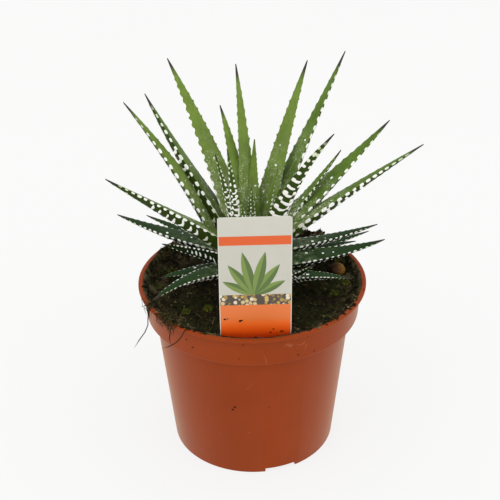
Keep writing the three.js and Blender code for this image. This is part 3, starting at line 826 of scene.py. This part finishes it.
# Every leaf, inner ones first: azimuth, elevation at the foot, length, bend and sweep from foot
# to tip, height and radius of the foot, width, roll at the foot and its twist up to the tip.
# Millimetres and degrees.
LEAVES = [
    (172, 82, 56, -6, 0, 112, 3, 10, 0, 0),
    (0, 82, 41, -6, 0, 112, 4, 8.5, 10, 0),
    (112, 80, 44, -8, 0, 111, 4, 9.5, -6, 0),
    (-20, 76, 38, -6, 0, 110, 5, 9, -8, 0),
    (-62, 79, 61, -6, 0, 110, 5, 11, 4, 0),
    (-37, 79, 66, 1, 1, 109, 7, 11, 0, 0),
    (48, 76, 44, -10, 0, 110, 5, 10, 0, 0),
    (-168, 83, 99, -16, 5, 107, 3, 12.5, -3, 0),
    (142, 71, 104, -16, 3, 107, 3, 16.5, -4, 0),
    (-147, 87, 82, -26, 3, 104, 5, 15.5, 4, 0),
    (-136, 63, 108, -15, -3, 110, 3, 18, 7, 0),
    (40, 72, 106, -24, 2, 103, 5, 17.5, 7, 0),
    (133, 56, 110, 6, -17, 112, 3, 17, 6, 0),
    (-116, 50.5, 94, 5, -2, 112, 4, 21, -18, -8),
    (-102, 65.5, 112.5, -18, -6, 93, 4.5, 18, 14, -20),
    (180, 52, 50, -14, 0, 104, 6, 13, 0, 0),
    (109, 36.5, 95, 3, 5, 112, 3, 20, -5, 0),
    (111, 44, 67, 7, -4, 110, 4, 12, 6, 0),
    (96, 34, 101, -4, 2, 111, 3, 17, 6, 4),
    (12, 50, 42, -6, 0, 105, 6, 12, 0, 0),
    (-83, 32.5, 80, -2, -5, 113, 5, 21, -10, -16),
    (-18, 36, 40, -6, 0, 103, 6, 12, 0, 0),
    (155, 34, 58, -8, 0, 103, 6, 13, 4, 0),
    (-158, 30, 60, -6, 0, 103, 6, 13, -6, 0),
    (20, 22, 38, -6, 0, 101, 7, 12, 0, 0),
    (-110, -1.5, 75, 9, -9, 110.5, 6, 18, -5, 4),
    (-128, 3, 68, -1, 0, 104, 7, 13, 2, 0),
    (112, -6, 69, 10, 2, 110, 6, 14.5, 5, 0),
    (172, 18, 66, 2, 0, 101, 7, 13, 0, 0),
    (96, -7, 65, 21, 4, 106, 7, 19, -4, 0),
    (119, -2, 68, 3, 1, 101, 7, 12, 0, 0),
    (112, 9, 54, -13, -2, 100, 7, 11, -3, 0),
    (-100, 7, 43, -4, -3, 105, 6, 18, -28, -16),
    (-53, 25, 61, -38, 10, 100, 6, 14.5, 2, 0),
    (-3, 12, 38, -6, 0, 99, 7, 12, 0, 0),
    (-172, 2, 62, 4, 0, 99, 7, 13, 0, 0),
    (145, 6, 64, 2, 0, 100, 7, 13, 0, 0),
    (-94, 0, 43, -19, 3, 99, 7, 15, 4, 0),
    (-16, 2, 36, -6, 0, 97, 8, 11, 0, 0),
    (49, 29, 40, 9, 1, 94, 8, 15, 2, 0),
    (70, 23, 48, -23, -4, 94, 8, 14, 2, 0),
]


def direction(azimuth, elevation):
    """Unit vector for an azimuth and an elevation."""
    return around(azimuth, math.cos(math.radians(elevation)), math.sin(math.radians(elevation)))


def leaf_path(leaf, rings):
    """For each ring: its place and the unit vectors to its right margin and out of its face."""
    azimuth, elevation, length, bend, sweep, foot_z, foot_radius, _, roll, twist = leaf
    point = around(azimuth, foot_radius, foot_z) + Vector((0, STEM_Y, 0))
    path = []
    for ring in range(rings + 1):
        share = ring / rings
        if ring:
            middle = (ring - 0.5) / rings
            point = point + direction(azimuth + sweep * middle, elevation + bend * middle) * length / rings
        here = azimuth + sweep * share
        up = elevation + bend * share
        turn = Matrix.Rotation(-math.radians(roll + twist * share), 3, direction(here, up))
        path.append((point.copy(), turn @ direction(here + 90, 0), turn @ direction(here, up + 90)))
    return path


def mark_scale(length):
    """Short leaves carry smaller marks that stand closer together."""
    grown = (length - SHORT_MARKS_LENGTH) / (FULL_MARKS_LENGTH - SHORT_MARKS_LENGTH)
    return 0.5 + 0.5 * min(1, max(0, grown))


def oval_lean(draw, elevation):
    """How far a margin's ovals lie over to the back, in half lengths: furthest on upright leaves."""
    return 0.35 + 0.45 * min(1, max(0, (elevation - 30) / 40)) + draw.uniform(-0.2, 0.2)


def flank_marks(draw, length, half_girth):
    """White marks on one back as (along, off the keel, half length, half reach, bow), in millimetres.
    Near the foot they cross a flank or the whole back; further out only the keel's ovals are left."""
    marks = []
    scale = mark_scale(length)
    pitch = BAND_PITCH * scale
    along = pitch * draw.uniform(0.4, 0.9)
    while along < BARE_TIP * length:
        share = along / length
        girth = half_girth(share)
        thick = BAND_HALF_THICKNESS * scale * draw.uniform(0.85, 1.1) * (1.08 - 0.35 * share)
        reach = min(0.42 * girth, LONGEST_REACH * scale * draw.uniform(0.8, 1.1))
        if share < BANDED_SHARE and draw.random() < CROSSING_CHANCE:
            marks.append((along, 0, thick, min(0.84 * girth, 1.6 * LONGEST_REACH), draw.uniform(0.7, 1.3)))
        elif share < BANDED_SHARE:
            for side in (-1, 1):
                marks.append((along + draw.uniform(-0.6, 0.6), side * 0.5 * girth, thick, reach,
                              draw.uniform(0.6, 2.2) * scale))
        elif share < BANDS_END_SHARE:
            for side in (-1, 1):
                marks.append((along, side * draw.uniform(0.42, 0.55) * girth, 0.9 * thick,
                              draw.uniform(0.5, 0.95) * reach, draw.uniform(0, 1) * scale))
        if share > KEEL_OVALS_SHARE:
            marks.append((along + 0.5 * pitch, draw.uniform(-0.3, 0.3), 1.35 * thick, 0.95 * thick, 0))
        along += pitch * draw.uniform(0.88, 1.14) * (1.06 - 0.22 * share)
    return marks


def margin_ovals(draw, length):
    """Places along one margin where a white tubercle stands, with its half length."""
    ovals = []
    scale = mark_scale(length)
    pitch = BAND_PITCH * scale * draw.uniform(0.92, 1.12)
    along = pitch * draw.uniform(0.3, 0.8)
    while along < BARE_TIP * length:
        size = OVAL_HALF_LENGTH * scale * draw.uniform(0.75, 1.12)
        ovals.append((along, size * (1.05 - 0.38 * along / length)))
        along += pitch * draw.uniform(0.86, 1.12) * (1.02 - 0.22 * along / length)
    return ovals


def margin_teeth(draw, ovals):
    """Green teeth between one margin's ovals, as (along, length, share of the full height)."""
    return [((first[0] + second[0]) / 2 + 0.3, TOOTH_LENGTH * draw.uniform(0.7, 1.2), draw.uniform(0.4, 1.1))
            for first, second in zip(ovals, ovals[1:])]


def tooth_height(step, length):
    """A saw tooth that rises slowly from the foot's side and leans to the tip."""
    return max(0, 1 - step / (0.6 * length) if step > 0 else 1 + step / (1.4 * length))


def face_dots(draw, length, half_width):
    """A few small dots along the middle of the face, as (along, off the middle, half length)."""
    places = [along * length for along in (0.24, 0.31, 0.38, 0.46, 0.55) if draw.random() < 0.7]
    return [(along + draw.uniform(-2, 2), draw.uniform(-0.5, 0.5) * half_width(along / length),
             draw.uniform(0.3, 0.75)) for along in places]


def mark_depth(along, off, at, middle, half_length, half_width, bow=0):
    """1 in the middle of a mark, 0 on its edge and less outside; its ends bow to the leaf's tip."""
    aside = abs(off - middle) / half_width
    ahead = abs(along - at - bow * aside ** 2) / half_length
    return 1 - (ahead ** MARK_ROUNDNESS + aside ** MARK_ROUNDNESS) ** (1 / MARK_ROUNDNESS)


def swelling(depth):
    """Height share of a rounded tubercle at a depth inside its edge."""
    inside = min(max(depth, 0), 1)
    return math.sqrt(1 - (1 - inside) ** 2)


def build_leaf(index, leaf):
    _, elevation, length, _, _, _, _, width, _, _ = leaf
    draw = random.Random(100 + index)
    rings = round(length / RING_PITCH)
    segments = 4 * round(6 + width / 2)
    path = leaf_path(leaf, rings)

    def half_width(share):
        shoulder = min(1, FOOT_SHARE + (1 - FOOT_SHARE) * share / SHOULDER)
        return (TIP_WIDTH + (width - TIP_WIDTH) * max(0, 1 - share) ** WIDTH_TAPER * shoulder) / 2

    def thickness(share):
        full = width * THICKNESS_SHARE
        return TIP_THICKNESS + (full - TIP_THICKNESS) * max(0, 1 - share) ** THICKNESS_TAPER

    def back_depth(x, share):
        """Depth of the keeled back; its keel grows sharper to the tip."""
        fullness = KEEL_FULLNESS - KEEL_SHARPENING * share ** 2
        return KEEL_DEPTH * (1 - abs(x) ** fullness) ** KEEL_ROUNDNESS * thickness(share)

    def back_lengths(share):
        """Distance over the back from a margin to each row of vertices, up to the keel."""
        places = [math.cos(2 * math.pi * i / segments) for i in range(segments // 4 + 1)]
        corners = [Vector((x * half_width(share), back_depth(x, share))) for x in places]
        return [sum((b - a).length for a, b in zip(corners[:i], corners[1:])) for i in range(len(corners))]

    lengths = [back_lengths(ring / rings) for ring in range(rings + 1)]
    marks = flank_marks(draw, length, lambda share: lengths[round(share * rings)][-1])
    ovals = {side: margin_ovals(draw, length) for side in (-1, 1)}
    leans = dict(zip(ovals, OVAL_LEANS.get(index) or [oval_lean(draw, elevation) for _ in ovals]))
    teeth = {side: margin_teeth(draw, ovals[side]) for side in ovals}
    dots = face_dots(draw, length, half_width)
    bm = bmesh.new()
    bmesh.ops.create_grid(bm, x_segments=segments, y_segments=rings, size=0.5)
    depth_layer = bm.verts.layers.float.new("tubercle")
    place_layer = bm.verts.layers.float_vector.new("skin")
    age_layer = bm.verts.layers.float.new("age")
    painted_shade_layer = bm.verts.layers.float.new("shade")
    for vert in bm.verts:
        turn = 2 * math.pi * (vert.co.x + 0.5)
        share = min(1, max(0, vert.co.y + 0.5))
        ring = round(share * rings)
        row = round((vert.co.x + 0.5) * segments)
        point, side, face = path[ring]
        half = half_width(share)
        along = share * length
        x = math.cos(turn)
        back = math.sin(turn) < 0
        margin_side = 1 if x > 0 else -1
        fade = min(1, half / FULL_RELIEF_HALF_WIDTH)
        rows_in = min(abs(row - segments // 2), segments - row)
        inward = lengths[ring][rows_in] if back else half * (abs(x) - 1)
        off = math.copysign(lengths[ring][-1] - inward, x)
        spot = Vector((off if back else 20 + x * half, along, index * 9.7)) * WOBBLE_SCALE
        along_now = along + MARK_WOBBLE * noise.noise(spot)
        lean = leans[margin_side]
        depth = max((mark_depth(along_now, inward, at, lean * size * fade, size,
                                OVAL_WIDTH_SHARE * size * fade)
                     for at, size in ovals[margin_side] if abs(at - along) < OVAL_WINDOW), default=-1)
        tooth = max((height * tooth_height(along - at, reach)
                     for at, reach, height in teeth[margin_side] if abs(at - along) < NEAR_WINDOW), default=0)
        if back:
            off_now = off + MARK_WOBBLE * noise.noise(spot + Vector((0, 0, 5)))
            depth = max([depth] + [mark_depth(along_now, off_now, *mark)
                                   for mark in marks if abs(mark[0] - along) < BAND_WINDOW])
            line = min(abs(off), 0.8 * inward + 0.1) / LINE_HALF_WIDTH
            depth = max(depth, min(1 - line, 3 * (LINED_SHARE - share)))
        else:
            depth = max([depth] + [mark_depth(along_now, x * half, at, middle, size, size)
                                   for at, middle, size in dots if abs(at - along) < NEAR_WINDOW])
        relief = fade * TUBERCLE_HEIGHT * swelling(depth)
        edge = abs(x) ** 4
        outward = x * (half + edge * fade * (TOOTH_HEIGHT * tooth + 0.3 * relief))
        rise = -back_depth(x, share) if back else FACE_CROWN * (1 - x * x) * thickness(share)
        upward = rise + (1 - edge) * relief * (-1 if back else 0.4)
        vert.co = (point + side * outward + face * upward) * mm
        vert[depth_layer] = depth
        vert[age_layer] = min(1, length / FULL_MARKS_LENGTH + (width - 10) / 10)
        # The painted shade of the leaf's foot, which the material reads.
        vert[painted_shade_layer] = SHADED_FEET.get(index, FOOT_PAINTED_SHADE)
        vert[place_layer] = (off / 10 if back else x * half / 10, along / 10, -share if back else share)
    bmesh.ops.remove_doubles(bm, verts=bm.verts, dist=0.004 * mm)
    bmesh.ops.holes_fill(bm, edges=[e for e in bm.edges if e.is_boundary], sides=0)
    bmesh.ops.recalc_face_normals(bm, faces=bm.faces)
    return bm


def leaf_material(name, face_colours, back_colours, freckle_strength, gloss):
    """Green skin: a paler face with pale freckles near its foot, a dark back, white tubercles, a dry brown
    tip and painted shade on its foot. It reads the marks and places that build_leaf leaves on the vertices."""
    material, tree, shader = new_material(name, 0.5, gloss)
    depth = vertex_value(tree, "tubercle")
    skin = vertex_value(tree, "skin", "Vector")
    share = axes(tree, skin)["Z"]
    length_share = worked(tree, "ABSOLUTE", share)
    on_back = worked(tree, "LESS_THAN", share, 0.0)
    streaks = add_node(tree, "Mapping", {"Vector": skin, "Scale": (9, 1.1, 1)}).outputs[0]
    streak = noise_value(tree, streaks, 3, 4, 0.6)
    place = object_place(tree)
    cloud = noise_value(tree, place, 70, 3)
    streaked = ranged(tree, streak, 0.3, 0.7)
    face = mixed(tree, streaked, *face_colours)
    back = mixed(tree, streaked, *back_colours)
    age = vertex_value(tree, "age")
    back = mixed(tree, ranged(tree, age, 0.3, 1, 0.7, 0), back, face_colours[0])
    cells = add_node(tree, "TexVoronoi", {"Vector": place, "Scale": 780})
    patch = ranged(tree, noise_value(tree, place, 130, 3), 0.38, 0.56, 0.2)
    patch = times(tree, patch, ranged(tree, length_share, 0.66, 0.3, 0, freckle_strength))
    haze = ranged(tree, noise_value(tree, place, 340, 4, 0.65), 0.38, 0.62, 0.05, 0.7)
    face = mixed(tree, times(tree, haze, patch), face, HAZE_COLOUR)
    freckle = ranged(tree, cells.outputs["Distance"], 0.26, 0.4, 0.8, 0)
    freckle = times(tree, freckle, ranged(tree, patch, 0.15, 0.55))
    face = mixed(tree, freckle, face, FRECKLE_COLOUR)
    colour = mixed(tree, on_back, face, back)
    colour = mixed(tree, ranged(tree, cloud, 0.35, 0.75, 0, 0.35), colour, back_colours[0])
    # Painted shade: each leaf's foot is darkened towards the back's dark green, as far as its shade attribute
    # says.
    shade = vertex_value(tree, "shade")
    shade = times(tree, shade, ranged(tree, length_share, 0.62, 0.1))
    colour = mixed(tree, shade, colour, back_colours[0])
    pale = graded(tree, ranged(tree, length_share, 0, 0.9), TUBERCLE_STOPS)
    colour = mixed(tree, ranged(tree, depth, -0.02, 0.1), colour, pale)
    dry = worked(tree, "ADD", length_share, times(tree, cloud, 0.05))
    dry = ranged(tree, worked(tree, "ADD", dry, ranged(tree, age, 0.5, 1, -0.07, 0)), 0.92, 0.98)
    paint(tree, shader, mixed(tree, dry, colour, DRY_COLOUR))
    bumped(tree, shader, streak, 0.18, 0.25 * mm)
    return material


leaf_looks = {name: leaf_material(name, *skin) for name, skin in SKINS.items()}
node_slots = {part["node"]: part["material_slot"] for part in frame["record"]["subparts"]}
for index, leaf in enumerate(LEAVES, 1):
    node_name = f"leaf_{index:02d}"
    leaf_slot = node_slots[node_name]
    blade = piece_from(build_leaf(index, leaf), f"blade_{index:02d}", leaf_looks[leaf_slot], sharp_angle=75)
    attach(blade, "root")
    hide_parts(node_name)

# The chip of bark: a rounded brown scrap that lies on the soil at the right, under the low leaves.
# It is painted dark on the side of the plant, a painted shade under the low leaves, and golden brown on the
# other.
CHIP_SIZE = Vector((9.2, 8, 6.4)) * mm
CHIP_SHIFT = 0.8 * mm
BARK_STOPS = [(0.25, 0x24160A), (0.5, 0x44290F), (0.7, 0x6E4A1C), (0.9, 0x9A7530)]
bark_material, tree, shader = new_material("bark", 0.7, 0.2)
place = object_place(tree)
low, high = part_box("bark_chip")
chip_middle = (low + high) / 2 + Vector((CHIP_SHIFT, 0, (CHIP_SIZE.z - (high - low).z) / 2))
sideways = axes(tree, place)["X"]
grain = noise_value(tree, place, 420, 5, 0.65)
# Darker towards the plant's side: painted shade under the low leaves; the grain mixed in below is the bark's
# own.
value = ranged(tree, sideways, chip_middle.x - CHIP_SIZE.x / 2, chip_middle.x + CHIP_SIZE.x / 2)
value = worked(tree, "ADD", times(tree, value, 0.65), times(tree, grain, 0.5))
paint(tree, shader, graded(tree, value, BARK_STOPS))
bumped(tree, shader, grain, 0.5, 0.4 * mm)
bm = bmesh.new()
bmesh.ops.create_icosphere(bm, subdivisions=4, radius=1)
for vert in bm.verts:
    vert.co *= 1 + 0.2 * noise.noise(vert.co * 1.3) + 0.05 * noise.noise(vert.co * 5)
bmesh.ops.transform(bm, matrix=Matrix.Translation(chip_middle) @ Matrix.Diagonal((*(CHIP_SIZE / 2), 1)),
                    verts=bm.verts)
chip = piece_from(bm, "bark_scrap", bark_material)
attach(chip, "root")
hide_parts("bark_chip")
